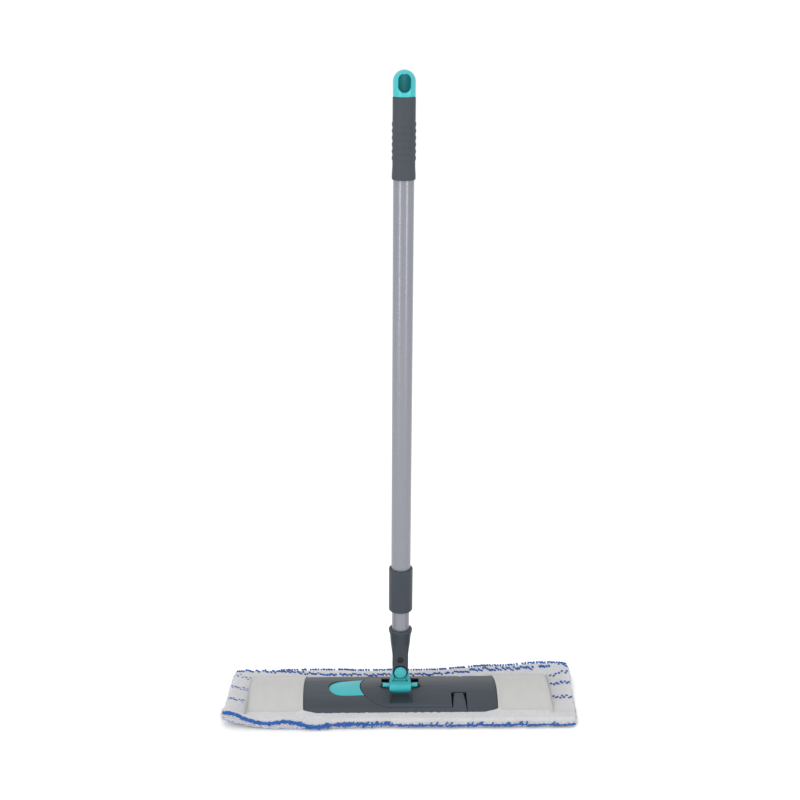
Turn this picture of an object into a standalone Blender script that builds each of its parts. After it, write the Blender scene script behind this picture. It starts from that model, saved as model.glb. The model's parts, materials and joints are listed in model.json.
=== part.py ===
"""Flat mop: pocket pad, folding wing plate, two-axis yoke and a telescopic twist-lock handle.

Metres, +Z up, X along the pad, -Y towards the front edge. The origin is the centre of the pad's underside.
"""
import bpy
import bmesh
import math
from mathutils import Vector

MM = 0.001
GAP = 0.3 * MM                      # clearance between pieces that touch

# Pad: pile, backing, end hems and the two pockets
PAD_LENGTH = 440 * MM
PAD_DEPTH = 136 * MM
PILE_TOP = 6.7 * MM
BACKING_TOP = 8.5 * MM
HEM_TOP = 10.6 * MM
HEM_WIDTH = 27 * MM
POCKET_INNER_X = 121 * MM
POCKET_OUTER_X = 191.5 * MM
POCKET_HALF_Y = 62 * MM
POCKET_CLOTH = 1.4 * MM

# Wing plate
WING_TIP_X = 188 * MM
PLATE_HALF_Y = 46 * MM
PLATE_BOTTOM = 9.0 * MM
CROWN_TOP = 23 * MM
CROWN_EDGE = 12 * MM
SKIN = 2.6 * MM
DECK_TOP = 12.5 * MM
TONGUE_HALF_Y = 38.5 * MM
TONGUE_CENTRE = (-8 * MM, 2 * MM)
TONGUE_NOSE = (42.5 * MM, 41 * MM)   # half axes of the nose's ellipse

# Fold hinge between the two wings
FOLD_X = 74 * MM
FOLD_Z = 15 * MM
FOLD_RANGE = math.radians(75)
KNUCKLE_R = 8 * MM
KNUCKLE_END_Y = -15 * MM
ARCH_HALF_X = 9.7 * MM
HINGE_PIN_R = 1.5 * MM
STRIP_INNER_Y = 39 * MM

# Release pedal
PEDAL_LEFT_X = -91 * MM
PEDAL_HALF_Y = 18.5 * MM
PEDAL_PIVOT = (-84 * MM, 17.5 * MM)
PEDAL_BOTTOM = 16.9 * MM
PEDAL_RISE = 0.9 * MM

# Yoke, tilting on its trunnion (X axis) and carrying the fork's pivot (Y axis)
TRUNNION_Z = 25.2 * MM
TRUNNION_R = 2.85 * MM
TRUNNION_HALF_X = 22 * MM
BARREL_R = 8.6 * MM
BARREL_Z = 23.4 * MM
BARREL_HALF_X = 13.5 * MM
PIVOT_Z = 49.6 * MM
LUG_R = 9 * MM
LUG_HALF_Y = 6.2 * MM
PIVOT_PIN_R = 4 * MM
PIVOT_HEAD_R = 7.5 * MM
HEAD_RECESS_R = 8.9 * MM

# Handle socket with its fork
FORK_HALF_X = 9.75 * MM
FORK_HALF_Y = 11 * MM
SLOT_HALF_Y = 6.5 * MM
SLOT_TOP = 60.6 * MM
CORE_BOTTOM = 62.6 * MM
SOCKET_FLOOR = 85.6 * MM
SOCKET_TOP = 106.2 * MM
SOCKET_RIM_R = 14.75 * MM
SCREW_Z = 65.8 * MM

# Telescopic tubes
OUTER_R = 12 * MM
INNER_R = 10.9 * MM
TUBE_WALL = 0.8 * MM
INNER_BOTTOM = 86 * MM
INNER_TOP = 690 * MM
OUTER_BOTTOM = 140.3 * MM
OUTER_TOP = 760.5 * MM
COLLAR_BOTTOM = 132 * MM
COLLAR_TOP = 188.7 * MM
COLLAR_R = 14.75 * MM

# Grip and hang cap
GRIP_BOTTOM = 670 * MM
GRIP_TOP = 762.2 * MM
GRIP_R = 13.2 * MM
RIB_COUNT = 6
RIB_PITCH = 7.6 * MM
RIB_FIRST_Z = 694 * MM
RIB_HEIGHT = 0.6 * MM
CAP_BOTTOM = 762.5 * MM
CAP_TOP = 791.8 * MM
CAP_R = 12.8 * MM
EYE_HALF_X = 7.3 * MM
EYE_HALF_Z = 10.6 * MM
EYE_Z = 777.6 * MM
EYE_BACK_R = 10.4 * MM

COLOURS = {
    "graphite_plastic": ((0.075, 0.085, 0.100), 0.48, 0.0),
    "teal_plastic": ((0.050, 0.510, 0.500), 0.38, 0.0),
    "silver_paint": ((0.340, 0.350, 0.390), 0.36, 0.25),
    "grip_rubber": ((0.080, 0.088, 0.100), 0.60, 0.0),
    "black_plastic": ((0.020, 0.020, 0.022), 0.50, 0.0),
    "steel": ((0.560, 0.560, 0.580), 0.30, 1.0),
    "white_microfibre": ((0.800, 0.790, 0.770), 0.95, 0.0),
    "grey_cloth": ((0.580, 0.580, 0.570), 0.90, 0.0),
}


# ---------------------------------------------------------------- tools

def paint(obj, colour_name):
    """Give the object a material of its own in one of the mop's colours."""
    colour, roughness, metallic = COLOURS[colour_name]
    material = bpy.data.materials.new(obj.name + "_" + colour_name)
    material.use_nodes = True
    shader = material.node_tree.nodes["Principled BSDF"]
    shader.inputs["Base Color"].default_value = (*colour, 1.0)
    shader.inputs["Roughness"].default_value = roughness
    shader.inputs["Metallic"].default_value = metallic
    obj.data.materials.append(material)


def solid(name, bm, origin=(0, 0, 0)):
    """Turn a bmesh in world coordinates into an object whose origin is the given point."""
    bmesh.ops.recalc_face_normals(bm, faces=bm.faces)
    bmesh.ops.translate(bm, verts=bm.verts, vec=-Vector(origin))
    mesh = bpy.data.meshes.new(name)
    bm.to_mesh(mesh)
    bm.free()
    mesh.shade_smooth()
    mesh.set_sharp_from_angle(angle=math.radians(35))
    obj = bpy.data.objects.new(name, mesh)
    obj.location = origin
    bpy.context.scene.collection.objects.link(obj)
    return obj


def prism(outline, axis, low, high):
    """Extrude a closed outline along an axis: (y, z) for X, (x, z) for Y and (x, y) for Z."""
    place = {
        "X": lambda a, b, c: (c, a, b),
        "Y": lambda a, b, c: (a, c, b),
        "Z": lambda a, b, c: (a, b, c),
    }[axis]
    bm = bmesh.new()
    start = [bm.verts.new(place(a, b, low)) for a, b in outline]
    end = [bm.verts.new(place(a, b, high)) for a, b in outline]
    bm.faces.new(start)
    bm.faces.new(end)
    for i in range(len(outline)):
        j = (i + 1) % len(outline)
        bm.faces.new((start[i], start[j], end[j], end[i]))
    return bm


def block(x0, x1, y0, y1, z0, z1):
    """Box between two corners."""
    return prism([(x0, y0), (x1, y0), (x1, y1), (x0, y1)], "Z", z0, z1)


def arc(centre, radius, start, stop, steps):
    """Points along a circular or elliptic arc, angles in degrees; radius is one number or a pair."""
    rx, ry = radius if isinstance(radius, tuple) else (radius, radius)
    angles = [math.radians(start + (stop - start) * i / steps) for i in range(steps + 1)]
    return [(centre[0] + rx * math.cos(t), centre[1] + ry * math.sin(t)) for t in angles]


def rod(axis, centre, radius, low, high, sides=24):
    """Round bar along an axis through a centre given in the two other coordinates."""
    return prism(arc(centre, radius, 0, 360 - 360 / sides, sides - 1), axis, low, high)


def turned(profile, segments=32):
    """Turn a closed profile of (radius, height) points about Z; points at radius 0 become poles."""
    bm = bmesh.new()
    rings = []
    for radius, height in profile:
        if radius == 0:
            rings.append([bm.verts.new((0, 0, height))])
            continue
        angles = [2 * math.pi * i / segments for i in range(segments)]
        rings.append([bm.verts.new((radius * math.cos(t), radius * math.sin(t), height)) for t in angles])
    for a, b in zip(rings, rings[1:] + rings[:1]):
        for i in range(segments):
            corners = (a[i % len(a)], a[(i + 1) % len(a)], b[(i + 1) % len(b)], b[i % len(b)])
            face = list(dict.fromkeys(corners))
            if len(face) > 2:
                bm.faces.new(face)
    return bm


def tool(name, bm):
    """A cutter, or a shape to be joined, that is not a piece of its own."""
    obj = solid(name, bm)
    obj.hide_render = True
    obj.display_type = "WIRE"
    return obj


def combine(obj, operation, bm):
    """Add an exact Boolean with a shape made for it."""
    step = obj.modifiers.new(operation.lower(), "BOOLEAN")
    step.operation = operation
    step.solver = "EXACT"
    step.object = tool(obj.name + "_tool_" + str(len(obj.modifiers)), bm)


# ---------------------------------------------------------------- plate shapes

def crown(y, lift=0.0):
    """Height of the plate's crowned top face at y."""
    return CROWN_TOP - (CROWN_TOP - CROWN_EDGE) * (y / PLATE_HALF_Y) ** 2 + lift


def crowned(x0, x1, y0, y1, bottom, lift=0.0, steps=14):
    """Bar along X with a flat underside and the plate's crowned top."""
    ys = [y0 + (y1 - y0) * i / steps for i in range(steps + 1)]
    outline = [(y0, bottom)] + [(y, crown(y, lift)) for y in ys] + [(y1, bottom)]
    return prism(outline, "X", x0, x1)


def nose(growth):
    """The tongue's rounded left end, from its front edge round to its rear edge."""
    rx = TONGUE_NOSE[0] + growth
    ry = TONGUE_NOSE[1] + growth
    half_y = TONGUE_HALF_Y + growth
    front = math.degrees(math.asin((half_y + TONGUE_CENTRE[1]) / ry))
    rear = math.degrees(math.asin((half_y - TONGUE_CENTRE[1]) / ry))
    return arc(TONGUE_CENTRE, (rx, ry), 180 + front, 180 - rear, 18)


def tip(side):
    """Rounded outer end of a wing in plan, from the front edge to the rear edge for the right wing."""
    r = 14 * MM
    front = arc((WING_TIP_X - r, -PLATE_HALF_Y + r), r, -90, 0, 5)
    rear = arc((WING_TIP_X - r, PLATE_HALF_Y - r), r, 0, 90, 5)
    return [(side * x, y) for x, y in front + rear]


def pedal_outline(growth):
    """Round left end, and a right end that follows the tongue's nose."""
    half_y = PEDAL_HALF_Y + growth
    left = arc((PEDAL_LEFT_X + PEDAL_HALF_Y, 0), half_y, 90, 270, 12)
    margin = 0.9 * MM - 2 * growth
    rx = TONGUE_NOSE[0] + margin
    ry = TONGUE_NOSE[1] + margin
    low = math.degrees(math.asin((half_y + TONGUE_CENTRE[1]) / ry))
    high = math.degrees(math.asin((half_y - TONGUE_CENTRE[1]) / ry))
    return left + arc(TONGUE_CENTRE, (rx, ry), 180 + low, 180 - high, 8)


# ---------------------------------------------------------------- wings

def make_right_wing():
    """Right wing with the tongue that carries the yoke and overlies the left wing."""
    split_x = FOLD_X + ARCH_HALF_X
    rear_slot_x = FOLD_X + 8 * MM
    arch_end_y = KNUCKLE_END_Y + 2 * MM
    outline = list(reversed(nose(0)))
    outline += [(FOLD_X - ARCH_HALF_X, -TONGUE_HALF_Y), (FOLD_X - ARCH_HALF_X, arch_end_y)]
    outline += [(split_x, arch_end_y), (split_x, -PLATE_HALF_Y)]
    outline += tip(1)
    outline += [(rear_slot_x, PLATE_HALF_Y), (rear_slot_x, TONGUE_HALF_Y)]
    wing = solid("right_wing", crowned(-60 * MM, WING_TIP_X + MM, -PLATE_HALF_Y, PLATE_HALF_Y, PLATE_BOTTOM))
    combine(wing, "INTERSECT", prism(outline, "Z", 0, 40 * MM))
    inner_y = TONGUE_HALF_Y - SKIN
    combine(wing, "DIFFERENCE", block(-70 * MM, split_x, -60 * MM, 60 * MM, 0, DECK_TOP + GAP))
    combine(wing, "DIFFERENCE", crowned(-46 * MM, split_x, -inner_y, inner_y, 0, -SKIN))
    hollow_y = PLATE_HALF_Y - SKIN
    combine(wing, "DIFFERENCE", crowned(split_x + SKIN, WING_TIP_X - 4 * MM, -hollow_y, hollow_y, 0, -SKIN))
    add_hinge_bosses(wing)
    add_trunnion_saddles(wing)
    combine(wing, "UNION", block(-49 * MM, -45.1 * MM, -5 * MM, 5 * MM, DECK_TOP + GAP, 21.5 * MM))
    combine(wing, "DIFFERENCE", block(-55 * MM, -40 * MM, -5.6 * MM, 5.6 * MM, 0, 14.9 * MM))
    pin_end_y = 23.3 * MM
    combine(wing, "DIFFERENCE",
            rod("Y", (FOLD_X, FOLD_Z), HINGE_PIN_R + GAP, KNUCKLE_END_Y, pin_end_y, 16))
    paint(wing, "graphite_plastic")


def add_hinge_bosses(wing):
    """Two blocks under the tongue that hold the hinge pin on both sides of the rear knuckle."""
    half_x = 4 * MM
    for y0, y1 in ((KNUCKLE_END_Y + 2 * MM, 7.5 * MM), (18.5 * MM, 25 * MM)):
        combine(wing, "UNION",
                block(FOLD_X - half_x, FOLD_X + half_x, y0, y1, 11.2 * MM, crown(max(abs(y0), abs(y1))) - MM))


def add_trunnion_saddles(wing):
    """The yoke's window, and a snap bearing at each end of it for the trunnion."""
    combine(wing, "DIFFERENCE", block(-23.5 * MM, 24.5 * MM, -3.5 * MM, 29 * MM, 0, 40 * MM))
    combine(wing, "DIFFERENCE", block(-14 * MM, 15 * MM, -32.3 * MM, 2 * MM, 0, 40 * MM))
    for x0, x1 in ((-25 * MM, -17 * MM), (17 * MM, 26 * MM)):
        combine(wing, "UNION", block(x0, x1, -6 * MM, 4.8 * MM, 13 * MM, 26.6 * MM))
    combine(wing, "DIFFERENCE",
            rod("X", (0, TRUNNION_Z), TRUNNION_R + GAP, -TRUNNION_HALF_X - GAP, TRUNNION_HALF_X + GAP, 24))
    combine(wing, "DIFFERENCE", block(-30 * MM, 30 * MM, -7 * MM, 0.8 * MM, crown(0) - 0.1 * MM, 40 * MM))


def make_left_wing():
    """Left wing: the deck under the tongue, the edge strips beside it and the pedal's seat."""
    end_x = FOLD_X - ARCH_HALF_X
    wing = solid("left_wing", crowned(-WING_TIP_X - MM, end_x, -PLATE_HALF_Y, PLATE_HALF_Y, PLATE_BOTTOM),
                 (FOLD_X, 0, FOLD_Z))
    outline = tip(-1) + [(end_x + MM, PLATE_HALF_Y), (end_x + MM, -PLATE_HALF_Y)]
    combine(wing, "INTERSECT", prism(outline, "Z", 0, 40 * MM))
    clear = nose(0.5 * MM)
    clear = [(end_x + 5 * MM, clear[0][1])] + clear + [(end_x + 5 * MM, clear[-1][1])]
    combine(wing, "DIFFERENCE", prism(clear, "Z", DECK_TOP, 40 * MM))
    add_fold_knuckles(wing, end_x)
    combine(wing, "DIFFERENCE",
            rod("Y", (FOLD_X, FOLD_Z), HINGE_PIN_R + GAP, -30.3 * MM, 20 * MM, 16))
    add_pedal_seat(wing)
    hollow_y = PLATE_HALF_Y - SKIN
    combine(wing, "DIFFERENCE",
            crowned(-WING_TIP_X + 4 * MM, PEDAL_LEFT_X - 5 * MM, -hollow_y, hollow_y, 0, -SKIN))
    combine(wing, "DIFFERENCE", block(62.7 * MM, 64.9 * MM, 41 * MM, 50 * MM, 0, 40 * MM))
    paint(wing, "graphite_plastic")


def add_fold_knuckles(wing, end_x):
    """Front finger knuckle, rear knuckle on its arm, and the strip ends that reach past the hinge."""
    start_x = end_x - MM
    strip_bottom = PLATE_BOTTOM + 1.6 * MM
    combine(wing, "UNION",
            crowned(start_x, FOLD_X + 8 * MM, -PLATE_HALF_Y, -STRIP_INNER_Y, strip_bottom, steps=3))
    combine(wing, "UNION",
            crowned(start_x, FOLD_X + 4 * MM, STRIP_INNER_Y, PLATE_HALF_Y, PLATE_BOTTOM, steps=3))
    combine(wing, "UNION",
            block(start_x, FOLD_X - 5.5 * MM, -STRIP_INNER_Y - MM, STRIP_INNER_Y + MM, PLATE_BOTTOM, DECK_TOP))
    finger = rod("Y", (FOLD_X, FOLD_Z), KNUCKLE_R, -PLATE_HALF_Y + MM, KNUCKLE_END_Y, 32)
    combine(wing, "UNION", finger)
    finger_tool = wing.modifiers[-1].object
    combine(finger_tool, "INTERSECT",
            crowned(end_x, FOLD_X + ARCH_HALF_X, -PLATE_HALF_Y, 0, PLATE_BOTTOM, -0.1 * MM, steps=8))
    combine(wing, "UNION", rod("Y", (FOLD_X, FOLD_Z), 3.4 * MM, 8 * MM, 18 * MM, 20))
    combine(wing, "UNION",
            block(FOLD_X - 7 * MM, FOLD_X, 8 * MM, 18 * MM, PLATE_BOTTOM + MM, DECK_TOP - 0.2 * MM))


def add_pedal_seat(wing):
    """Opening for the pedal, its pivot holes and the slot for its catch."""
    combine(wing, "DIFFERENCE", prism(pedal_outline(0.4 * MM), "Z", DECK_TOP, 40 * MM))
    combine(wing, "DIFFERENCE", block(-57.5 * MM, -41 * MM, -5.8 * MM, 5.8 * MM, 0, 14 * MM))
    combine(wing, "DIFFERENCE", rod("Y", PEDAL_PIVOT, 1.5 * MM + GAP, -24.3 * MM, 24.3 * MM, 16))


def make_hinge_pin():
    """Steel wire pin of the fold hinge."""
    pin = solid("hinge_pin", rod("Y", (FOLD_X, FOLD_Z), HINGE_PIN_R, -30 * MM, 23 * MM, 16),
                (FOLD_X, 0, FOLD_Z))
    paint(pin, "steel")


# ---------------------------------------------------------------- release pedal

def make_release_pedal():
    """Teal foot pedal with its catch under the tongue's nose."""
    x, z = PEDAL_PIVOT
    half_y = PEDAL_HALF_Y + MM
    pedal = solid("release_pedal",
                  crowned(PEDAL_LEFT_X - MM, -42 * MM, -half_y, half_y, PEDAL_BOTTOM, PEDAL_RISE), (x, 0, z))
    combine(pedal, "INTERSECT", prism(pedal_outline(0), "Z", 0, 40 * MM))
    inner_y = PEDAL_HALF_Y - 2.2 * MM
    combine(pedal, "DIFFERENCE", crowned(-80 * MM, -54 * MM, -inner_y, inner_y, 0, PEDAL_RISE - SKIN))
    combine(pedal, "UNION", block(-56 * MM, -52.2 * MM, -5 * MM, 5 * MM, 13.2 * MM, 19 * MM))
    combine(pedal, "UNION", block(-53 * MM, -42.6 * MM, -5 * MM, 5 * MM, 13.2 * MM, 14.5 * MM))
    combine(pedal, "UNION", block(-44.6 * MM, -42.6 * MM, -5 * MM, 5 * MM, 13.2 * MM, 17 * MM))
    combine(pedal, "DIFFERENCE", rod("Y", PEDAL_PIVOT, 1.5 * MM + GAP, -25 * MM, 25 * MM, 16))
    paint(pedal, "teal_plastic")
    pin = solid("pedal_pin", rod("Y", PEDAL_PIVOT, 1.5 * MM, -24 * MM, 24 * MM, 16), (x, 0, z))
    paint(pin, "steel")


def make_latch_spring():
    """Small compression spring that lifts the pedal's catch end."""
    coil_r = 3 * MM
    turns = 4.5
    low = DECK_TOP + 0.8 * MM
    high = 20.6 * MM
    steps = int(turns * 12)
    curve = bpy.data.curves.new("latch_spring", "CURVE")
    curve.dimensions = "3D"
    curve.bevel_depth = 0.4 * MM
    curve.bevel_resolution = 1
    curve.use_fill_caps = True
    line = curve.splines.new("POLY")
    line.points.add(steps)
    for i, point in enumerate(line.points):
        t = i / steps
        angle = 2 * math.pi * turns * t
        point.co = (coil_r * math.cos(angle), coil_r * math.sin(angle), low + (high - low) * t, 1)
    spring = bpy.data.objects.new("latch_spring", curve)
    spring.location = (-61 * MM, 0, 0)
    bpy.context.scene.collection.objects.link(spring)
    paint(spring, "steel")


# ---------------------------------------------------------------- yoke and fork

def make_yoke():
    """Teal yoke: trunnion bar, a lower-set barrel with cut corners, and a ribbed lug with the fork's pivot hole."""
    yoke = solid("yoke", rod("X", (0, BARREL_Z), BARREL_R, -BARREL_HALF_X, BARREL_HALF_X, 32),
                 (0, 0, TRUNNION_Z))
    corner_top, corner_bottom = BARREL_Z - 1.6 * MM, BARREL_Z - 10 * MM
    for side in (-1, 1):
        corner = [(side * (BARREL_HALF_X + MM), corner_top), (side * BARREL_HALF_X, corner_top),
                  (side * (BARREL_HALF_X - 3.4 * MM), corner_bottom), (side * (BARREL_HALF_X + MM), corner_bottom)]
        combine(yoke, "DIFFERENCE", prism(corner, "Y", -10 * MM, 10 * MM))
    combine(yoke, "UNION",
            rod("X", (0, TRUNNION_Z), TRUNNION_R, -TRUNNION_HALF_X, TRUNNION_HALF_X, 24))
    foot = 12.8 * MM
    lug = [(-foot, TRUNNION_Z + 2 * MM), (foot, TRUNNION_Z + 2 * MM), (foot, TRUNNION_Z + 6.5 * MM)]
    lug += arc((0, PIVOT_Z), LUG_R, 14, 166, 14)
    lug += [(-foot, TRUNNION_Z + 6.5 * MM)]
    combine(yoke, "UNION", prism(lug, "Y", -LUG_HALF_Y, LUG_HALF_Y))
    web_foot = foot - 2.8 * MM
    web = [(-web_foot, 33.5 * MM), (web_foot, 33.5 * MM), (6.8 * MM, 42 * MM), (-6.8 * MM, 42 * MM)]
    for low, high in ((-9 * MM, -4 * MM), (4 * MM, 9 * MM)):
        combine(yoke, "DIFFERENCE", prism(web, "Y", low, high))
    combine(yoke, "DIFFERENCE", rod("Y", (0, PIVOT_Z), PIVOT_PIN_R + GAP, -10 * MM, 10 * MM, 24))
    paint(yoke, "teal_plastic")


def make_handle_socket():
    """Fork that straddles the yoke's lug, recessed for the pin's head, and widens into the tube's socket."""
    profile = [(5.3 * MM, CORE_BOTTOM), (5.3 * MM, SOCKET_FLOOR), (INNER_R + GAP, SOCKET_FLOOR)]
    profile += [(INNER_R + GAP, SOCKET_TOP), (SOCKET_RIM_R - MM, SOCKET_TOP), (SOCKET_RIM_R, SOCKET_TOP - MM)]
    profile += [(SOCKET_RIM_R - 0.2 * MM, 102 * MM), (13.2 * MM, 98.5 * MM), (12.3 * MM, 87 * MM)]
    profile += [(9.9 * MM, 68 * MM), (9.75 * MM, CORE_BOTTOM)]
    socket = solid("handle_socket", turned(profile, 32), (0, 0, PIVOT_Z))
    fork = arc((0, PIVOT_Z), FORK_HALF_X, 180, 360, 16)
    fork_top = SOCKET_FLOOR - 0.4 * MM
    fork += [(FORK_HALF_X, fork_top), (-FORK_HALF_X, fork_top)]
    combine(socket, "UNION", prism(fork, "Y", -FORK_HALF_Y, FORK_HALF_Y))
    fork_tool = socket.modifiers[-1].object
    combine(fork_tool, "INTERSECT",
            turned([(0, 30 * MM), (15 * MM, 30 * MM), (15 * MM, 60 * MM), (11.9 * MM, 86 * MM), (0, 86 * MM)], 32))
    combine(socket, "DIFFERENCE", rod("Z", (0, 0), 5.3 * MM, CORE_BOTTOM, SOCKET_FLOOR + MM, 32))
    combine(socket, "DIFFERENCE",
            block(-15 * MM, 15 * MM, -SLOT_HALF_Y, SLOT_HALF_Y, 30 * MM, SLOT_TOP))
    combine(socket, "DIFFERENCE", rod("Y", (0, PIVOT_Z), PIVOT_PIN_R + GAP, -15 * MM, 15 * MM, 24))
    combine(socket, "DIFFERENCE", rod("Y", (0, PIVOT_Z), HEAD_RECESS_R, -15 * MM, -9.6 * MM, 32))
    combine(socket, "DIFFERENCE", rod("Y", (0, SCREW_Z), 3.9 * MM, -15 * MM, -8.7 * MM, 20))
    combine(socket, "DIFFERENCE", rod("Y", (0, SCREW_Z), 1.8 * MM, -15 * MM, 8.3 * MM, 16))
    paint(socket, "graphite_plastic")


def make_socket_screw():
    """Countersunk screw that holds the tube's end plug in the socket."""
    screw = solid("socket_screw", rod("Y", (0, SCREW_Z), 3.1 * MM, -10.4 * MM, -9 * MM, 20))
    combine(screw, "UNION", rod("Y", (0, SCREW_Z), 1.5 * MM, -9.5 * MM, 8 * MM, 16))
    for half_x, half_z in ((1.9 * MM, 0.35 * MM), (0.35 * MM, 1.9 * MM)):
        combine(screw, "DIFFERENCE",
                block(-half_x, half_x, -12 * MM, -9.7 * MM, SCREW_Z - half_z, SCREW_Z + half_z))
    paint(screw, "black_plastic")


def make_pivot():
    """Teal headed pin through fork and lug, and the clip that keeps it."""
    pin = solid("pivot_pin", rod("Y", (0, PIVOT_Z), PIVOT_HEAD_R, -13.4 * MM, -11.3 * MM, 32),
                (0, 0, PIVOT_Z))
    combine(pin, "UNION", rod("Y", (0, PIVOT_Z), 6.4 * MM, -13.9 * MM, -12 * MM, 32))
    combine(pin, "UNION", rod("Y", (0, PIVOT_Z), PIVOT_PIN_R, -12 * MM, 11.2 * MM, 24))
    combine(pin, "UNION", rod("Y", (0, PIVOT_Z), 2.6 * MM, 11 * MM, 13 * MM, 24))
    paint(pin, "teal_plastic")
    clip = solid("pivot_clip", rod("Y", (0, PIVOT_Z), 5.4 * MM, 11.4 * MM, 12.3 * MM, 24), (0, 0, PIVOT_Z))
    combine(clip, "DIFFERENCE", rod("Y", (0, PIVOT_Z), 2.9 * MM, 11 * MM, 13 * MM, 24))
    paint(clip, "steel")


# ---------------------------------------------------------------- telescopic handle

def tube_profile(radius, wall, low, high):
    """Closed profile of a plain tube."""
    return [(radius, high), (radius - wall, high), (radius - wall, low), (radius, low)]


def make_tubes():
    """Inner tube, its end plug, the outer tube and the guide collar at its lower end."""
    inner = solid("inner_tube", turned(tube_profile(INNER_R, TUBE_WALL, INNER_BOTTOM, INNER_TOP), 32))
    paint(inner, "silver_paint")
    outer = solid("outer_tube", turned(tube_profile(OUTER_R, TUBE_WALL, OUTER_BOTTOM, OUTER_TOP), 32))
    paint(outer, "silver_paint")
    plug_r = INNER_R - TUBE_WALL - GAP
    plug = [(0, 104 * MM), (plug_r, 104 * MM), (plug_r, INNER_BOTTOM), (5 * MM, INNER_BOTTOM)]
    plug += [(5 * MM, CORE_BOTTOM + GAP), (0, CORE_BOTTOM + GAP)]
    plug = solid("tube_plug", turned(plug, 32))
    combine(plug, "DIFFERENCE", rod("Y", (0, SCREW_Z), 1.8 * MM, -12 * MM, 12 * MM, 16))
    paint(plug, "black_plastic")
    bore = OUTER_R + GAP
    lip = INNER_R + GAP
    collar = [(COLLAR_R, COLLAR_TOP), (bore, COLLAR_TOP), (bore, OUTER_BOTTOM - GAP), (lip, OUTER_BOTTOM - GAP)]
    collar += [(lip, COLLAR_BOTTOM), (COLLAR_R - 1.6 * MM, COLLAR_BOTTOM), (COLLAR_R, COLLAR_BOTTOM + 1.6 * MM)]
    paint(solid("tube_collar", turned(collar, 32)), "graphite_plastic")


def make_twist_lock():
    """Plug on the inner tube's top with a journal, and the split ring that jams in the outer tube."""
    plug_r = INNER_R - TUBE_WALL - GAP
    flange = INNER_TOP + GAP
    journal_top = 716.3 * MM
    hole_r = 1.4 * MM
    plug = [(0, 702 * MM), (hole_r, 702 * MM), (hole_r, journal_top), (6 * MM, journal_top)]
    plug += [(6 * MM, flange + 3 * MM), (10.7 * MM, flange + 3 * MM), (10.7 * MM, flange), (plug_r, flange)]
    plug += [(plug_r, 650 * MM), (0, 650 * MM)]
    paint(solid("lock_plug", turned(plug, 32)), "black_plastic")
    ring = solid("lock_ring", turned(tube_profile(10.85 * MM, 4.55 * MM, flange + 3.3 * MM, 716 * MM), 32))
    combine(ring, "DIFFERENCE", block(0, 15 * MM, -1.5 * MM, 1.5 * MM, 680 * MM, 730 * MM))
    paint(ring, "grip_rubber")
    paint(solid("lock_washer", turned(tube_profile(9.5 * MM, 7.9 * MM, 716.6 * MM, 718.2 * MM), 24)), "steel")
    screw = [(0, 720.7 * MM), (3.2 * MM, 720.7 * MM), (3.2 * MM, 718.5 * MM), (1.1 * MM, 718.5 * MM)]
    screw += [(1.1 * MM, 703 * MM), (0, 703 * MM)]
    paint(solid("lock_screw", turned(screw, 16)), "steel")


def make_grip():
    """Ribbed grip sleeve."""
    bore = OUTER_R + GAP
    profile = [(GRIP_R - 0.5 * MM, GRIP_TOP), (bore, GRIP_TOP), (bore, GRIP_BOTTOM)]
    profile += [(GRIP_R + 0.2 * MM, GRIP_BOTTOM), (GRIP_R + 0.5 * MM, GRIP_BOTTOM + 3 * MM)]
    for i in range(RIB_COUNT):
        z = RIB_FIRST_Z + i * RIB_PITCH
        quarter = RIB_PITCH / 4
        profile += [(GRIP_R, z - 2 * quarter), (GRIP_R + RIB_HEIGHT, z - quarter), (GRIP_R + RIB_HEIGHT, z + quarter)]
    profile += [(GRIP_R - 0.1 * MM, RIB_FIRST_Z + (RIB_COUNT - 0.5) * RIB_PITCH), (GRIP_R - 0.1 * MM, GRIP_TOP - MM)]
    paint(solid("grip_sleeve", turned(profile, 32)), "grip_rubber")


def make_hang_cap():
    """Teal end cap with an oval hanging eye, closed at the back by a thin curved wall."""
    spigot = OUTER_R - TUBE_WALL - GAP
    dome_z = CAP_TOP - CAP_R
    profile = [(0, 748 * MM), (spigot, 748 * MM), (spigot, CAP_BOTTOM)]
    profile += arc((0, dome_z), CAP_R, 0, 90, 8)[:-1]
    profile.insert(3, (CAP_R, CAP_BOTTOM))
    profile += [(0, CAP_TOP)]
    cap = solid("hang_cap", turned(profile, 32))
    straight = EYE_HALF_Z - EYE_HALF_X
    eye = arc((0, EYE_Z + straight), EYE_HALF_X, 0, 180, 12)
    eye += arc((0, EYE_Z - straight), EYE_HALF_X, 180, 360, 12)
    combine(cap, "DIFFERENCE", prism(eye, "Y", -20 * MM, 20 * MM))
    hollow = [(-EYE_BACK_R, -21 * MM), (EYE_BACK_R, -21 * MM)] + arc((0, 0), EYE_BACK_R, 0, 180, 16)
    combine(cap.modifiers[-1].object, "INTERSECT", prism(hollow, "Z", 750 * MM, 800 * MM))
    paint(cap, "teal_plastic")


# ---------------------------------------------------------------- pad

def fold_edge(side, z):
    """Where a pad half ends at height z, so that the halves meet along a V when the plate folds."""
    return FOLD_X + side * (0.5 * MM + (FOLD_Z - z) * math.tan(FOLD_RANGE / 2))


def pad_layer(name, side, half_length, half_y, low, high, colour):
    """One half of a pad layer, cut back along the fold's V."""
    end = side * half_length
    outline = [(end, low), (fold_edge(side, low), low), (fold_edge(side, high), high), (end, high)]
    layer = solid(name, prism(outline, "Y", -half_y, half_y))
    paint(layer, colour)


def pocket_section(lift, half_y, foot):
    """Cross-section of the space over a wing tip."""
    ys = [half_y * (i / 7 - 1) for i in range(15)]
    return [(-half_y, foot)] + [(y, crown(y, lift)) for y in ys] + [(half_y, foot)]


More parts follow.
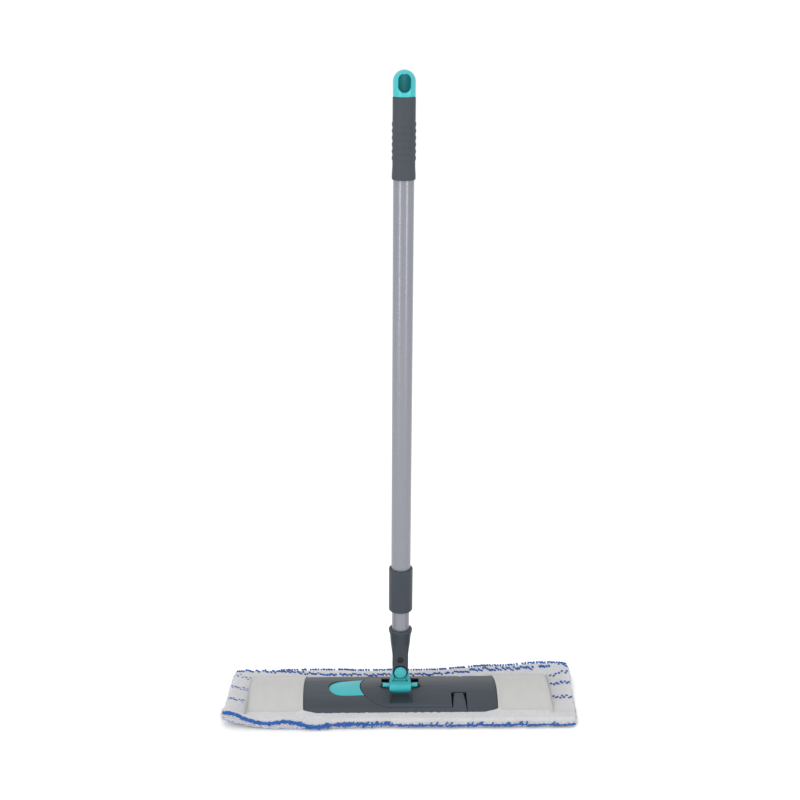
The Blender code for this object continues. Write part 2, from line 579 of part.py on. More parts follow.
def make_pocket(name, side):
    """Cloth pocket sewn to the backing around a wing tip, open towards the middle."""
    foot = BACKING_TOP + GAP
    flange = foot + POCKET_CLOTH
    wall_y = PLATE_HALF_Y + GAP + POCKET_CLOTH
    outer = pocket_section(GAP + POCKET_CLOTH, wall_y, flange)
    outer += [(POCKET_HALF_Y, flange), (POCKET_HALF_Y, foot), (-POCKET_HALF_Y, foot), (-POCKET_HALF_Y, flange)]
    low, high = sorted((side * POCKET_INNER_X, side * POCKET_OUTER_X))
    pocket = solid(name, prism(outer, "X", low, high))
    inner = pocket_section(GAP, PLATE_HALF_Y + GAP, 0)
    low, high = sorted((side * (POCKET_INNER_X - MM), side * (WING_TIP_X + 2 * GAP)))
    combine(pocket, "DIFFERENCE", prism(inner, "X", low, high))
    paint(pocket, "grey_cloth")


def make_pad():
    """Microfibre pile, backing cloth, end hems and pockets, in two halves that meet at the fold."""
    for label, side in (("left", -1), ("right", 1)):
        half_length = PAD_LENGTH / 2
        half_y = PAD_DEPTH / 2
        pad_layer("pad_pile_" + label, side, half_length, half_y, 0, PILE_TOP, "white_microfibre")
        pad_layer("pad_backing_" + label, side, half_length - MM, half_y - MM,
                  PILE_TOP + GAP, BACKING_TOP, "grey_cloth")
        make_pocket("pocket_" + label, side)
        low, high = sorted((side * (half_length - 1.5 * MM), side * (half_length - 1.5 * MM - HEM_WIDTH)))
        hem = solid("end_hem_" + label,
                    block(low, high, -half_y + 2 * MM, half_y - 2 * MM, BACKING_TOP + GAP, HEM_TOP))
        paint(hem, "white_microfibre")


def main():
    for obj in list(bpy.data.objects):
        bpy.data.objects.remove(obj)
    make_pad()
    make_right_wing()
    make_left_wing()
    make_hinge_pin()
    make_release_pedal()
    make_latch_spring()
    make_yoke()
    make_handle_socket()
    make_socket_screw()
    make_pivot()
    make_tubes()
    make_twist_lock()
    make_grip()
    make_hang_cap()


main()
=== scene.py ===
"""Looks of the flat mop: moulded plastics, painted tube, and the looped microfibre pad as real fabric.

Metres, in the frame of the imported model. The CAD nodes give the places of the hard pieces; the sizes
here are details on top of them, and how the used pad lies.
"""
import bpy
import bmesh
import json
import math
import numpy as np
from mathutils import Matrix, Vector, noise


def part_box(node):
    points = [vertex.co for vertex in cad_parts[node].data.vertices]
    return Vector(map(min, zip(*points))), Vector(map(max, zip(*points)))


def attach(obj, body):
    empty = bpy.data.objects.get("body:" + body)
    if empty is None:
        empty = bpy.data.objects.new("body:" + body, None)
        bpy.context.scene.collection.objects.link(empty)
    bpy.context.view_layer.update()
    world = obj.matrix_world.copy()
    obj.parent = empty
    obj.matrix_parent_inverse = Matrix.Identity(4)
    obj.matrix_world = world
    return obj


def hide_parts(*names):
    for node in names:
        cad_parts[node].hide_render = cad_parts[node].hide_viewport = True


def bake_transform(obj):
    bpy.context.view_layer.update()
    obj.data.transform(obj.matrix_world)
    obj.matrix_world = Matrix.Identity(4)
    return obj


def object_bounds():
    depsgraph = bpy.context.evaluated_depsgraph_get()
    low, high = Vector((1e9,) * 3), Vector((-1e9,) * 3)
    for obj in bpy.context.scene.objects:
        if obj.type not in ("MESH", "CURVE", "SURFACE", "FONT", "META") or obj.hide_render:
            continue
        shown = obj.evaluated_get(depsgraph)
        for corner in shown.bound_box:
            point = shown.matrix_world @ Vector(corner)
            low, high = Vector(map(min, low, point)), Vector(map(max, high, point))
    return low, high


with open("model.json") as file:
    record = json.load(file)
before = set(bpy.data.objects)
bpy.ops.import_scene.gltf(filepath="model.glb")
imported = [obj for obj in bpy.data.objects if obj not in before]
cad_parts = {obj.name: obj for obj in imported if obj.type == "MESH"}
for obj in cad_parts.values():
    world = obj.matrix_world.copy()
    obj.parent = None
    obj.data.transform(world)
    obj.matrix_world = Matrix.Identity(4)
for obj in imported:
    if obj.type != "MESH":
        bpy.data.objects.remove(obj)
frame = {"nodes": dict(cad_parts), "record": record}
cad_low, cad_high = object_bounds()

MM = 0.001
PAD_X = cad_high.x                    # half the pad's length
PAD_Y = cad_high.y                    # half the pad's depth
PLATE_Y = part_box("right_wing")[1].y   # half the plate's depth
CROWN_TOP = 23 * MM                   # height of the plate's top along its middle
CROWN_EDGE = 12 * MM                  # and at its front and rear edges
TIP_X = 188 * MM                      # outer end of each wing
MOUTH_X = 121 * MM                    # mouth of each pocket

BLUE = (0.008, 0.078, 0.30)
PALE_BLUE = (0.17, 0.26, 0.52)
WHITE = (0.47, 0.47, 0.485)
GREY_CLOTH = (0.423, 0.420, 0.410)


# ---------------------------------------------------------------- small helpers

def step(a, b, x):
    """Smooth step of x from 0 at a to 1 at b."""
    t = min(1.0, max(0.0, (x - a) / (b - a)))
    return t * t * (3 - 2 * t)


def crown(y):
    """Height of the plate's crowned top at y."""
    return CROWN_TOP - (CROWN_TOP - CROWN_EDGE) * (y / PLATE_Y) ** 2


def wobble(x, y, scale, seed=0.0):
    """Smooth noise from -1 to 1 over the pad, features about scale metres wide."""
    return noise.noise(Vector((x / scale, y / scale, seed)))


# ---------------------------------------------------------------- materials

def nodes_of(name):
    """New node material with its shader and a helper that adds nodes."""
    material = bpy.data.materials.new(name)
    material.use_nodes = True
    tree = material.node_tree
    shader = tree.nodes["Principled BSDF"]

    def add(kind, **settings):
        node = tree.nodes.new(kind)
        for key, value in settings.items():
            if key in node.inputs:
                node.inputs[key].default_value = value
            else:
                setattr(node, key, value)
        return node

    return material, tree, shader, add


def ramp(add, tree, source, stops):
    """Colours of a source socket, from a ramp with the given (place, colour) stops."""
    node = add("ShaderNodeValToRGB")
    elements = node.color_ramp.elements
    while len(elements) < len(stops):
        elements.new(0.5)
    for element, (place, colour) in zip(elements, stops):
        element.position = place
        element.color = (*colour, 1.0)
    tree.links.new(source, node.inputs["Fac"])
    return node.outputs["Color"]


def multiplied(add, tree, first, second):
    """One colour socket multiplied by another."""
    mix = add("ShaderNodeMix", data_type="RGBA", blend_type="MULTIPLY")
    mix.inputs["Factor"].default_value = 1.0
    tree.links.new(first, mix.inputs[6])
    tree.links.new(second, mix.inputs[7])
    return mix.outputs[2]


def uneven_gloss(add, tree, shader, source, low, high):
    """Roughness that follows a texture between two values."""
    gloss = add("ShaderNodeMapRange")
    gloss.inputs["To Min"].default_value = low
    gloss.inputs["To Max"].default_value = high
    tree.links.new(source, gloss.inputs["Value"])
    tree.links.new(gloss.outputs["Result"], shader.inputs["Roughness"])


def shade(colour, factor):
    """The colour made darker or lighter."""
    return tuple(min(1.0, c * factor) for c in colour)


def noise_at(add, tree, scale, detail=3.0, stretch=(1, 1, 1)):
    """Noise over the object's own coordinates; scale is features per metre."""
    coords = add("ShaderNodeTexCoord")
    mapping = add("ShaderNodeMapping")
    mapping.inputs["Scale"].default_value = stretch
    tree.links.new(coords.outputs["Object"], mapping.inputs["Vector"])
    texture = add("ShaderNodeTexNoise", Scale=scale, Detail=detail, Roughness=0.5)
    tree.links.new(mapping.outputs["Vector"], texture.inputs["Vector"])
    return texture


def bumps(add, tree, shader, layers):
    """Chain of bump nodes from (height socket, strength, distance)."""
    last = None
    for height, strength, distance in layers:
        bump = add("ShaderNodeBump", Strength=strength, Distance=distance)
        tree.links.new(height, bump.inputs["Height"])
        if last is not None:
            tree.links.new(last.outputs["Normal"], bump.inputs["Normal"])
        last = bump
    tree.links.new(last.outputs["Normal"], shader.inputs["Normal"])


def rubbed_edges(add, tree, base, colour, wear):
    """The base colour, rubbed lighter along the convex edges."""
    edge = add("ShaderNodeNewGeometry")
    band = ramp(add, tree, edge.outputs["Pointiness"], [(0.53, (0, 0, 0)), (0.60, (wear, wear, wear))])
    mix = add("ShaderNodeMix", data_type="RGBA")
    tree.links.new(band, mix.inputs["Factor"])
    tree.links.new(base, mix.inputs[6])
    mix.inputs[7].default_value = (*shade(colour, 2.2), 1.0)
    return mix.outputs[2]


def moulded(name, colour, roughness, grain=2600.0, depth=0.35, wear=0.0, specular=0.5, gap_shade=0.20):
    """Moulded plastic: spark-eroded grain, faint flow clouds, rubbed edges, and shade painted into the gaps.
    """
    material, tree, shader, add = nodes_of(name)
    clouds = noise_at(add, tree, 18.0, detail=4.0)
    base = ramp(add, tree, clouds.outputs["Fac"], [(0.30, shade(colour, 0.93)), (0.72, shade(colour, 1.08))])
    if wear:
        base = rubbed_edges(add, tree, base, colour, wear)
    # painted shade: ambient occlusion darkens the base colour in gaps and near other parts, down to this
    # factor of the colour
    occlusion = add("ShaderNodeAmbientOcclusion", samples=8)
    occlusion.inputs["Distance"].default_value = 2.8 * MM
    painted_gap_shade = ramp(add, tree, occlusion.outputs["AO"], [(0.30, (gap_shade, gap_shade, gap_shade)), (0.85, (1, 1, 1))])
    tree.links.new(multiplied(add, tree, base, painted_gap_shade), shader.inputs["Base Color"])
    uneven_gloss(add, tree, shader, clouds.outputs["Fac"], roughness - 0.05, roughness + 0.07)
    shader.inputs["Specular IOR Level"].default_value = specular
    fine = noise_at(add, tree, grain, detail=2.0)
    bumps(add, tree, shader, [(fine.outputs["Fac"], depth, 0.05 * MM)])
    return material


def painted_metal(name, colour, roughness, metallic):
    """Silver lacquer on a drawn tube: flake sparkle and faint lines along it."""
    material, tree, shader, add = nodes_of(name)
    flake = noise_at(add, tree, 3800.0, detail=1.0)
    tint = ramp(add, tree, flake.outputs["Fac"], [(0.35, shade(colour, 0.95)), (0.68, shade(colour, 1.06))])
    tree.links.new(tint, shader.inputs["Base Color"])
    shader.inputs["Metallic"].default_value = metallic
    lines = noise_at(add, tree, 900.0, detail=2.0, stretch=(1, 1, 0.02))
    uneven_gloss(add, tree, shader, lines.outputs["Fac"], roughness - 0.05, roughness + 0.06)
    bumps(add, tree, shader, [(lines.outputs["Fac"], 0.05, 0.02 * MM)])
    return material


def terry(name, colour, spread=0.10, loop=900.0, depth=0.55):
    """Looped microfibre: soft loops at about a millimetre, with shaded gaps and a velvet sheen."""
    material, tree, shader, add = nodes_of(name)
    coords = add("ShaderNodeTexCoord")
    cells = add("ShaderNodeTexVoronoi", Scale=loop)
    tree.links.new(coords.outputs["Object"], cells.inputs["Vector"])
    tint = ramp(add, tree, cells.outputs["Distance"],
                [(0.05, shade(colour, 1 + spread)), (0.75, shade(colour, 1 - 1.6 * spread))])
    clouds = noise_at(add, tree, 60.0, detail=4.0)
    soft = ramp(add, tree, clouds.outputs["Fac"], [(0.3, shade((1, 1, 1), 0.93)), (0.7, (1, 1, 1))])
    tree.links.new(multiplied(add, tree, tint, soft), shader.inputs["Base Color"])
    shader.inputs["Roughness"].default_value = 0.95
    shader.inputs["Specular IOR Level"].default_value = 0.15
    shader.inputs["Sheen Weight"].default_value = 0.25
    shader.inputs["Sheen Roughness"].default_value = 0.5
    fuzz = noise_at(add, tree, 2400.0, detail=3.0)
    bumps(add, tree, shader, [(cells.outputs["Distance"], -depth, 0.5 * MM),
                              (fuzz.outputs["Fac"], 0.35, 0.15 * MM)])
    return material


def woven(name, colour, pitch=0.9 * MM):
    """Tight plain-woven cloth: two crossing sets of threads with slubs."""
    material, tree, shader, add = nodes_of(name)
    coords = add("ShaderNodeTexCoord")
    heights = []
    for direction in ("X", "Y"):
        threads = add("ShaderNodeTexWave", wave_type="BANDS", bands_direction=direction,
                      Scale=math.pi / pitch / 10, Distortion=0.6, Detail=1.0)
        tree.links.new(coords.outputs["Object"], threads.inputs["Vector"])
        heights.append(threads.outputs["Fac"])
    both = add("ShaderNodeMath", operation="MULTIPLY")
    tree.links.new(heights[0], both.inputs[0])
    tree.links.new(heights[1], both.inputs[1])
    slubs = noise_at(add, tree, 130.0, detail=5.0, stretch=(1, 0.25, 1))
    tint = ramp(add, tree, slubs.outputs["Fac"], [(0.3, shade(colour, 0.975)), (0.7, shade(colour, 1.02))])
    grid = ramp(add, tree, both.outputs["Value"], [(0.0, shade((1, 1, 1), 0.93)), (0.5, (1, 1, 1))])
    tree.links.new(multiplied(add, tree, tint, grid), shader.inputs["Base Color"])
    shader.inputs["Roughness"].default_value = 0.9
    shader.inputs["Specular IOR Level"].default_value = 0.2
    shader.inputs["Sheen Weight"].default_value = 0.15
    bumps(add, tree, shader, [(both.outputs["Value"], 0.35, 0.15 * MM),
                              (slubs.outputs["Fac"], 0.25, 0.3 * MM)])
    return material


def yarn_finish(name, colour, spread=0.22):
    """Twisted microfibre yarn: strands along it and colour that differs from tuft to tuft."""
    material, tree, shader, add = nodes_of(name)
    tone = noise_at(add, tree, 420.0, detail=2.0)
    tint = ramp(add, tree, tone.outputs["Fac"],
                [(0.28, shade(colour, 1 - spread)), (0.72, shade(colour, 1 + 1.4 * spread))])
    tree.links.new(tint, shader.inputs["Base Color"])
    shader.inputs["Roughness"].default_value = 0.9
    shader.inputs["Specular IOR Level"].default_value = 0.2
    shader.inputs["Sheen Weight"].default_value = 0.3
    strands = noise_at(add, tree, 3200.0, detail=2.0, stretch=(1, 1, 0.3))
    bumps(add, tree, shader, [(strands.outputs["Fac"], 0.6, 0.15 * MM)])
    return material


graphite = moulded("graphite_plastic", (0.026, 0.034, 0.045), 0.46, wear=0.15, specular=0.38)
teal = moulded("teal_plastic", (0.022, 0.345, 0.372), 0.34, grain=1500.0, depth=0.10, wear=0.25)
# the cap's material has no painted shade in its gaps (factor 1.0)
teal_cap = moulded("teal_cap_plastic", (0.030, 0.380, 0.400), 0.34, grain=1500.0, depth=0.10, wear=0.25,
                   gap_shade=1.0)
grip = moulded("grip_rubber", (0.038, 0.046, 0.056), 0.62, grain=1900.0, depth=0.55, specular=0.35)
black = moulded("black_plastic", (0.007, 0.008, 0.012), 0.45, specular=0.4)
silver = painted_metal("silver_paint", (0.215, 0.220, 0.250), 0.27, 0.35)
steel = painted_metal("zinc_steel", (0.55, 0.55, 0.57), 0.30, 1.0)
cloth_white = terry("pad_terry", WHITE)
cloth_hem = terry("hem_terry", shade(WHITE, 1.03), spread=0.07, loop=700.0, depth=0.45)
cloth_grey = woven("pocket_weave", GREY_CLOTH)
yarn_blue = yarn_finish("blue_yarn", BLUE)
yarn_pale = yarn_finish("pale_blue_yarn", PALE_BLUE)
yarn_white = yarn_finish("white_yarn", (0.52, 0.52, 0.54), spread=0.06)
stitch_thread = yarn_finish("stitch_thread", (0.40, 0.40, 0.39), spread=0.05)


# ---------------------------------------------------------------- mesh tools

def link(name, mesh, material, smooth_angle=35):
    """Object from a mesh, with its material and smooth shading that keeps sharp edges."""
    mesh.shade_smooth()
    mesh.set_sharp_from_angle(angle=math.radians(smooth_angle))
    obj = bpy.data.objects.new(name, mesh)
    bpy.context.scene.collection.objects.link(obj)
    obj.data.materials.append(material)
    return obj


def mesh_object(name, verts, faces, material, smooth_angle=35):
    """Object from vertices and faces in metres."""
    mesh = bpy.data.meshes.new(name)
    mesh.from_pydata([tuple(v) for v in verts], [], [tuple(f) for f in faces])
    mesh.update()
    return link(name, mesh, material, smooth_angle)


def outward(obj):
    """Recalculate the normals so that they point out."""
    bm = bmesh.new()
    bm.from_mesh(obj.data)
    bmesh.ops.recalc_face_normals(bm, faces=bm.faces)
    bm.to_mesh(obj.data)
    bm.free()


def apply_modifiers(obj):
    """Bake the object's modifiers into its mesh."""
    depsgraph = bpy.context.evaluated_depsgraph_get()
    mesh = bpy.data.meshes.new_from_object(obj.evaluated_get(depsgraph))
    obj.modifiers.clear()
    obj.data = mesh
    return obj


def softened(node, name, material, width):
    """A CAD node's shape with its flat faces merged and every edge rounded."""
    source = frame["nodes"][node]
    bm = bmesh.new()
    bm.from_mesh(source.data)
    bmesh.ops.remove_doubles(bm, verts=bm.verts, dist=2e-6)
    bmesh.ops.dissolve_limit(bm, angle_limit=math.radians(0.6), verts=bm.verts, edges=bm.edges)
    bmesh.ops.recalc_face_normals(bm, faces=bm.faces)
    mesh = bpy.data.meshes.new(name)
    bm.to_mesh(mesh)
    bm.free()
    obj = bpy.data.objects.new(name, mesh)
    bpy.context.scene.collection.objects.link(obj)
    obj.data.materials.clear()
    obj.data.materials.append(material)
    round_edges(obj, width)
    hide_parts(node)
    return obj


def round_edges(obj, width, segments=3, angle=38):
    """Bevel every edge sharper than the angle and shade the rest smooth."""
    bevel = obj.modifiers.new("round", "BEVEL")
    bevel.width = width
    bevel.segments = segments
    bevel.limit_method = "ANGLE"
    bevel.angle_limit = math.radians(angle)
    bevel.use_clamp_overlap = True
    bevel.miter_outer = "MITER_ARC"
    apply_modifiers(obj)
    obj.data.shade_smooth()
    obj.data.set_sharp_from_angle(angle=math.radians(30))


def boolean(obj, operation, cutter):
    """Exact Boolean with a helper shape, which is then removed."""
    change = obj.modifiers.new("cut", "BOOLEAN")
    change.operation = operation
    change.solver = "EXACT"
    change.object = cutter
    apply_modifiers(obj)
    bpy.data.objects.remove(cutter)


def prism(outline, place, low, high, material):
    """Helper prism of a closed outline; place gives the point for two outline values and a height."""
    count = len(outline)
    verts = [place(a, b, low) for a, b in outline] + [place(a, b, high) for a, b in outline]
    faces = [tuple(range(count)), tuple(range(count, 2 * count))]
    faces += [(i, (i + 1) % count, count + (i + 1) % count, count + i) for i in range(count)]
    obj = mesh_object("helper", verts, faces, material)
    outward(obj)
    return obj


def arc(centre, radius, start, stop, steps):
    """Points along a circular arc, angles in degrees."""
    angles = [math.radians(start + (stop - start) * i / steps) for i in range(steps + 1)]
    return [(centre[0] + radius * math.cos(t), centre[1] + radius * math.sin(t)) for t in angles]


def fillet(points, radius, steps=4):
    """A closed outline with every corner rounded; radius may be one value or one per point."""
    result = []
    count = len(points)
    for i, point in enumerate(points):
        r = radius[i] if isinstance(radius, (list, tuple)) else radius
        p = Vector(point)
        a = Vector(points[i - 1]) - p
        b = Vector(points[(i + 1) % count]) - p
        cut = min(r, 0.45 * a.length, 0.45 * b.length)
        if cut < 1e-6:
            result.append(tuple(p))
            continue
        start = p + a.normalized() * cut
        end = p + b.normalized() * cut
        for k in range(steps + 1):
            t = k / steps
            result.append(tuple(start * (1 - t) ** 2 + p * 2 * t * (1 - t) + end * t * t))
    return result


def lathe(name, profile, material, segments=128):
    """Turn a closed (radius, height) profile about the handle's axis."""
    verts, rings = [], []
    for radius, height in profile:
        if radius < 1e-7:
            rings.append([len(verts)])
            verts.append((0, 0, height))
            continue
        ring = []
        for i in range(segments):
            angle = 2 * math.pi * i / segments
            ring.append(len(verts))
            verts.append((radius * math.cos(angle), radius * math.sin(angle), height))
        rings.append(ring)
    faces = []
    for a, b in zip(rings, rings[1:] + rings[:1]):
        for i in range(segments):
            corners = (a[i % len(a)], a[(i + 1) % len(a)], b[(i + 1) % len(b)], b[i % len(b)])
            face = list(dict.fromkeys(corners))
            if len(face) > 2:
                faces.append(face)
    obj = mesh_object(name, verts, faces, material)
    outward(obj)
    return obj


def grid_shell(name, us, vs, top, bottom, material):
    """Closed shell between a top and a bottom surface over a grid of (u, v)."""
    nu, nv = len(us), len(vs)
    verts = [top(u, v) for u in us for v in vs] + [bottom(u, v) for u in us for v in vs]
    half = nu * nv
    faces = []
    for i in range(nu - 1):
        for j in range(nv - 1):
            a, b, c, d = i * nv + j, (i + 1) * nv + j, (i + 1) * nv + j + 1, i * nv + j + 1
            faces.append((a, b, c, d))
            faces.append((half + a, half + d, half + c, half + b))
    edge = [i * nv for i in range(nu)] + [(nu - 1) * nv + j for j in range(1, nv)]
    edge += [i * nv + nv - 1 for i in range(nu - 2, -1, -1)] + [j for j in range(nv - 2, 0, -1)]
    for a, b in zip(edge, edge[1:] + edge[:1]):
        faces.append((a, half + a, half + b, b))
    obj = mesh_object(name, verts, faces, material, smooth_angle=80)
    outward(obj)
    return obj


def yarns(name, paths, radius, material, sides=5, taper=0.55):
    """Many short tubes, one along each path, joined as one mesh of closed strands."""
    verts, faces = [], []
    turns = np.arange(sides) * 2 * math.pi / sides
    circle = np.stack([np.cos(turns), np.sin(turns)], axis=1)
    for index, path in enumerate(paths):
        points = np.asarray(path, float)
        thickness = radius * (0.82 + 0.36 * (index * 0.618 % 1.0))
        count = len(points)
        tangent = np.gradient(points, axis=0)
        tangent /= np.linalg.norm(tangent, axis=1, keepdims=True) + 1e-12
        guide = np.array([0.31, 0.87, 0.38])
        side = np.cross(tangent, guide)
        side /= np.linalg.norm(side, axis=1, keepdims=True) + 1e-12
        above = np.cross(tangent, side)
        start = len(verts)
        for k in range(count):
            size = thickness * (taper if k in (0, count - 1) else 1.0)
            ring = points[k] + size * (circle[:, :1] * side[k] + circle[:, 1:] * above[k])
            verts.extend(map(tuple, ring))
        for k in range(count - 1):
            low = start + k * sides
            for s in range(sides):
                t = (s + 1) % sides
                faces.append((low + s, low + t, low + sides + t, low + sides + s))
        faces.append(tuple(start + s for s in reversed(range(sides))))
        faces.append(tuple(start + (count - 1) * sides + s for s in range(sides)))
    obj = mesh_object(name, verts, faces, material, smooth_angle=75)
    outward(obj)
    return obj


# ---------------------------------------------------------------- how the pad lies

CLOTH_TOP = 8.4 * MM                  # cloth under the plate
CLOTH = 1.5 * MM                      # its thickness
HEM_PUFF = 2.2 * MM                   # how far the padded border stands above it
RIM = 8.3 * MM                        # usual height of the front rim
STRIPES = (56 * MM, 24 * MM, -8 * MM, -40 * MM)   # blue rows under the pad
WAVES_END = -92 * MM                  # the front rim waves to the left of this


def beyond_plate(x, y):
    """Distance outside the plate's outline in plan."""
    return math.hypot(max(0.0, abs(x) - TIP_X - 2 * MM), max(0.0, abs(y) - PLATE_Y - 0.5 * MM))


def lift(x, y):
    """How far the free border has curled up: the front-left corner most, the rear right a little."""
    free = step(0, 26 * MM, beyond_plate(x, y))
    curl = 10.5 * MM * step(-158 * MM, -222 * MM, x) * step(-10 * MM, -62 * MM, y)
    rear = 8 * MM * step(30 * MM, 180 * MM, x) * step(0, 60 * MM, y)
    rear += 1.6 * MM * math.sin(x / (13 * MM)) * step(90 * MM, 150 * MM, x) * step(40 * MM, 66 * MM, y)
    ripple = 0.45 * MM * (1 + wobble(x, y, 40 * MM, 3.1))
    return free * (curl + rear + ripple)


def rim(x):
    """Height of the front rim above the pad's own underside: waves on the left, level on the right."""
    height = RIM + 6.0 * MM * math.exp(-((x + 207 * MM) / (19 * MM)) ** 2)
    height += 4.1 * MM * math.exp(-((x + 143 * MM) / (17 * MM)) ** 2)
    return height - 3.6 * MM * math.exp(-((x + 107 * MM) / (14 * MM)) ** 2)


def front_rise(x, y):
    """How far the waves of the rim lift or lower the cloth near the front edge."""
    return (rim(x) - RIM) * step(-51 * MM, -66 * MM, y)


def settle(x, y, z):
    """A point of the flat pad, moved to where the used pad lies."""
    edge = step(40 * MM, 68 * MM, abs(y))
    slant = 0.05 * y * step(140 * MM, 200 * MM, abs(x))
    end = step(190 * MM, 218 * MM, abs(x))
    out_x = slant + end * (1.6 * MM * wobble(0, y, 26 * MM, 5.0) + (2.5 * MM if x > 0 else -0.5 * MM))
    rear = 3.0 * MM - 2.2 * MM * math.exp(-(x / (70 * MM)) ** 2)
    front = 4.6 * MM - 1.4 * MM * step(-20 * MM, 60 * MM, x)
    front -= 3.3 * MM * math.exp(-((x + 115 * MM) / (45 * MM)) ** 2)
    out_y = edge * (1.1 * MM * wobble(x, 0, 34 * MM, 8.0) + (rear if y > 0 else front))
    corner = step(203 * MM, 222 * MM, abs(x)) * step(52 * MM, 70 * MM, abs(y))
    out_x -= math.copysign(1.6 * MM, x) * corner
    out_y -= math.copysign(1.1 * MM, y) * corner
    return Vector((x + out_x, y + out_y, z + lift(x, y)))


def cloth_height(x, y):
    """Top of the pad's cloth before it settles."""
    away = beyond_plate(x, y)
    inset = min(PAD_X - abs(x), PAD_Y - abs(y))
    z = CLOTH_TOP + HEM_PUFF * step(0, 5 * MM, away) + front_rise(x, y)
    z -= 2.4 * MM * (1 - step(0, 5.5 * MM, inset))
    rough = 0.30 * MM * wobble(x, y, 4.2 * MM, 1.0) + 0.5 * MM * wobble(x, y, 19 * MM, 7.0)
    return z + step(0, 4 * MM, away) * rough


def line(low, high, pitch):
    """Even places from low to high, about pitch apart."""
    count = max(2, int(round((high - low) / pitch)) + 1)
    return [low + (high - low) * i / (count - 1) for i in range(count)]


def bend(obj):
    """Bake the piece's transform into its mesh."""
    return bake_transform(obj)


def make_pad_cloth():
    """The pad's backing cloth with its padded borders, in one piece over the fold."""
    edge = 1.2 * MM
    cloth = grid_shell("pad_cloth", line(-PAD_X + edge, PAD_X - edge, 2.4 * MM),
                       line(-PAD_Y + edge, PAD_Y - edge, 2.2 * MM),
                       lambda x, y: settle(x, y, cloth_height(x, y)),
                       lambda x, y: settle(x, y, cloth_height(x, y) - CLOTH), cloth_hem)
    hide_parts("pad_backing_left", "pad_backing_right", "end_hem_left", "end_hem_right")
    return bend(cloth)


def make_pad_pile():
    """The tufted mat below the cloth: a quilted slab that thins to its edges."""
    inset = 2.0 * MM

    def upper(x, y):
        return settle(x, y, cloth_height(x, y) - CLOTH - 0.3 * MM)

    def lower(x, y):
        margin = min(PAD_X - abs(x), PAD_Y - abs(y)) - inset
        dimple = 0.45 * MM * math.cos(2 * math.pi * x / (10 * MM)) * math.cos(2 * math.pi * y / (11 * MM))
        thin = 2.6 * MM + dimple + 0.5 * MM * (1 - step(0, 5 * MM, margin))
        return settle(x, y, min(thin, cloth_height(x, y) - CLOTH - 1.0 * MM))

    pile = grid_shell("pad_pile", line(-PAD_X + inset, PAD_X - inset, 2.5 * MM),
                      line(-PAD_Y + inset, PAD_Y - inset, 2.5 * MM), upper, lower, cloth_white)
    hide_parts("pad_pile_left", "pad_pile_right")
    return bend(pile)


def loop_path(x, y, dx, dy, top, bottom):
    """Hanging loop of yarn: down from the mat, round, and back up."""
    places = [(-1.0, top), (-0.95, 0.45 * (top + bottom)), (-0.5, bottom), (0.5, bottom),
              (0.95, 0.45 * (top + bottom)), (1.0, top)]
    return [settle(x + s * dx, y + s * dy, z) for s, z in places]


def make_pile_loops():
    """Rows of hanging loops under the mat, blue in the stripes and white between them."""
    rng = np.random.default_rng(21)
    white, blue = [], []
    for row, y in enumerate(line(-PAD_Y + 5 * MM, PAD_Y - 5 * MM, 5.2 * MM)):
        for x in line(-PAD_X + 4.5 * MM, PAD_X - 4.5 * MM, 5.2 * MM):
            u, v = rng.uniform(-1, 1, 2)
            angle = rng.uniform(0, math.pi)
            reach = 1.9 * MM
            px, py = x + 1.0 * MM * u + 2.6 * MM * (row % 2), y + 0.7 * MM * v
            path = loop_path(px, py, reach * math.cos(angle), reach * math.sin(angle),
                             3.4 * MM, (0.95 + 0.35 * abs(u)) * MM)
            near = min(abs(y - stripe) for stripe in STRIPES)
            (blue if near < 2.7 * MM else white).append(path)
    pieces = [yarns("pile_loops_white", white, 0.85 * MM, yarn_white),
              yarns("pile_loops_blue", blue, 0.85 * MM, yarn_blue)]
    for piece in pieces:
        bend(piece)


def border(spacing):
    """Places round the pad's edge as (x, y, outward x, outward y)."""
    places = [(x, -PAD_Y, 0, -1) for x in line(-PAD_X + 3 * MM, PAD_X - 3 * MM, spacing)]
    places += [(PAD_X, y, 1, 0) for y in line(-PAD_Y + 2 * MM, PAD_Y - 2 * MM, spacing)]
    places += [(x, PAD_Y, 0, 1) for x in line(-PAD_X + 3 * MM, PAD_X - 3 * MM, spacing)]
    places += [(-PAD_X, y, -1, 0) for y in line(-PAD_Y + 2 * MM, PAD_Y - 2 * MM, spacing)]
    return places


# A loop at the edge: along the edge in half widths, outward and up in millimetres.
LOOP_SHAPE = [(-1.2, -1.8, 0.9), (-0.8, -0.2, 0.2), (0.0, 0.5, -0.5), (0.8, -0.2, 0.2), (1.2, -1.8, 0.9)]


def make_edge_loops():
    """White loops that show all round the mat's edge, in four uneven rows that tuck in below."""
    rng = np.random.default_rng(5)
    paths = []
    for height in (1.5 * MM, 3.1 * MM, 4.8 * MM, 6.4 * MM):
        tuck = 3.2 * MM * (1 - height / (6.4 * MM)) ** 1.3
        for x, y, ox, oy in border(2.8 * MM):
            u, v, w = rng.uniform(-1, 1, 3)
            out = (-0.6 + 0.4 * w) * MM - tuck
            cx = x + ox * out + (1 - abs(ox)) * 1.2 * MM * u
            cy = y + oy * out + (1 - abs(oy)) * 1.2 * MM * u
            sx, sy = (1 - abs(ox)) * 1.3 * MM, (1 - abs(oy)) * 1.3 * MM
            z = height * (rim(x) / RIM if oy < 0 else 1.0) + 0.4 * MM * v
            paths.append([settle(cx + s * sx + ox * o * MM, cy + s * sy + oy * o * MM,
                                 max(0.9 * MM, z + dz * MM)) for s, o, dz in LOOP_SHAPE])
    loops = yarns("edge_loops", paths, 0.85 * MM, yarn_white)
    bend(loops)


